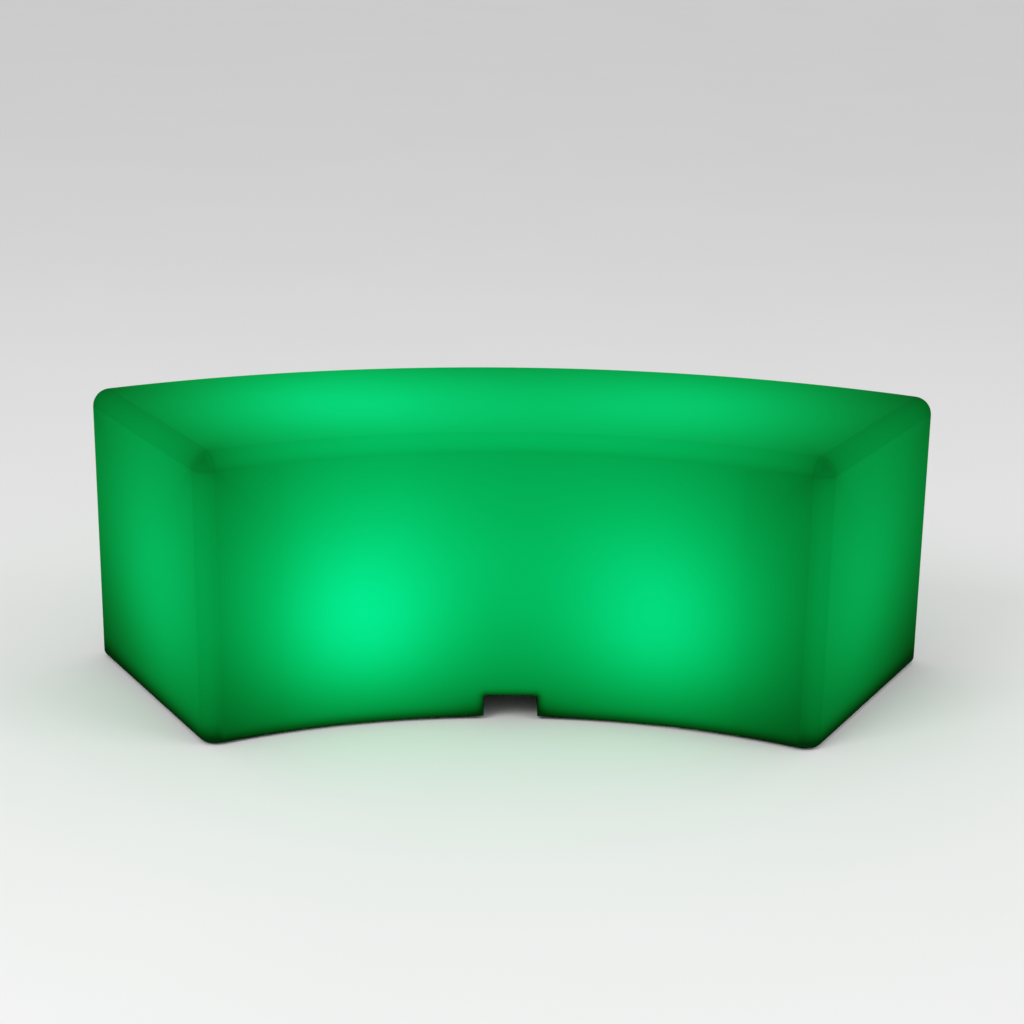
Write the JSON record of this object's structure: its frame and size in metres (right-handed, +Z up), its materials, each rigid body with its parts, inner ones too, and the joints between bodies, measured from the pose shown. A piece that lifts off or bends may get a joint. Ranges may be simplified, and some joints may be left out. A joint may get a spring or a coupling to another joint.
{
  "type": "led glow bench",
  "caption": "Curved hollow bench moulded in translucent plastic, lit from inside, with a cable slot under its concave side.",
  "frame": {"origin": "middle of the bench's footprint, on the floor under the feet", "axes": "+Z up; +X along the bench's length; +Y from the concave side towards the convex side"},
  "size_m": [1.1814, 0.4983, 0.4],
  "materials": {
    "glowing_shell": "satin moulded polyethylene, lit from inside",
    "black_rubber": "matt",
    "foot_rubber": "matt",
    "steel": "satin",
    "bracket_metal": "zinc plated",
    "insert_brass": "knurled",
    "tray_plastic": "fine moulded texture",
    "vent_plastic": "matt",
    "frosted_dome": "frosted",
    "white_board": "white solder mask",
    "diode": "clear resin",
    "battery_sleeve": "shrunk film",
    "foam": "open cell",
    "green_board": "solder mask",
    "connector_plastic": "moulded",
    "black_component": "moulded",
    "switch_metal": "turned",
    "button_metal": "turned",
    "socket_plastic": "moulded",
    "lead_red": "smooth sheath",
    "lead_black": "smooth sheath"
  },
  "bodies": {
    "bench": {"bench_shell": "glowing_shell", "cover_inserts": "insert_brass", "foot_inserts": "insert_brass", "front_feet": "foot_rubber", "back_feet": "foot_rubber", "foot_screws": "steel", "vent_plug": "vent_plastic", "cover_screws": "steel", "left_lamp_tray": "tray_plastic", "left_tray_gasket": "black_rubber", "left_dome_seal": "black_rubber", "left_light_dome": "frosted_dome", "left_dome_screws": "steel", "left_led_board": "white_board", "left_leds": "diode", "left_led_board_screws": "steel", "left_battery_pack": "battery_sleeve", "left_battery_foam": "foam", "left_battery_bracket": "bracket_metal", "left_control_board": "green_board", "left_board_connectors": "connector_plastic", "left_board_components": "black_component", "left_tray_screws": "steel", "left_switch_body": "switch_metal", "left_switch_nut": "switch_metal", "left_charge_socket": "socket_plastic", "left_socket_nut": "steel", "left_cap_strap": "black_rubber", "left_battery_lead": "lead_red", "left_lamp_lead": "lead_black", "left_panel_leads": "lead_black", "right_lamp_tray": "tray_plastic", "right_tray_gasket": "black_rubber", "right_dome_seal": "black_rubber", "right_light_dome": "frosted_dome", "right_dome_screws": "steel", "right_led_board": "white_board", "right_leds": "diode", "right_led_board_screws": "steel", "right_battery_pack": "battery_sleeve", "right_battery_foam": "foam", "right_battery_bracket": "bracket_metal", "right_control_board": "green_board", "right_board_connectors": "connector_plastic", "right_board_components": "black_component", "right_tray_screws": "steel", "right_switch_body": "switch_metal", "right_switch_nut": "switch_metal", "right_charge_socket": "socket_plastic", "right_socket_nut": "steel", "right_cap_strap": "black_rubber", "right_battery_lead": "lead_red", "right_lamp_lead": "lead_black", "right_panel_leads": "lead_black"},
    "left_button": {"left_power_button": "button_metal"},
    "right_button": {"right_power_button": "button_metal"},
    "left_cap": {"left_socket_cap": "black_rubber"},
    "right_cap": {"right_socket_cap": "black_rubber"}
  },
  "joints": [
    {"name": "left_button_press", "type": "slide", "parent": "bench", "child": "left_button", "axis": [0, 0, 1], "range_m": [0, 0.0015], "stiffness_N_per_m": 600, "springref_m": -0.001},
    {"name": "right_button_press", "type": "slide", "parent": "bench", "child": "right_button", "axis": [0, 0, 1], "range_m": [0, 0.0015], "stiffness_N_per_m": 600, "springref_m": -0.001},
    {"name": "left_cap_hinge", "type": "hinge", "parent": "bench", "child": "left_cap", "pos_m": [-0.2, 0.0315, 0.0279], "axis": [1, 0, 0], "range_deg": [0, 110]},
    {"name": "right_cap_hinge", "type": "hinge", "parent": "bench", "child": "right_cap", "pos_m": [0.2, -0.0315, 0.0279], "axis": [-1, 0, 0], "range_deg": [0, 110]}
  ]
}
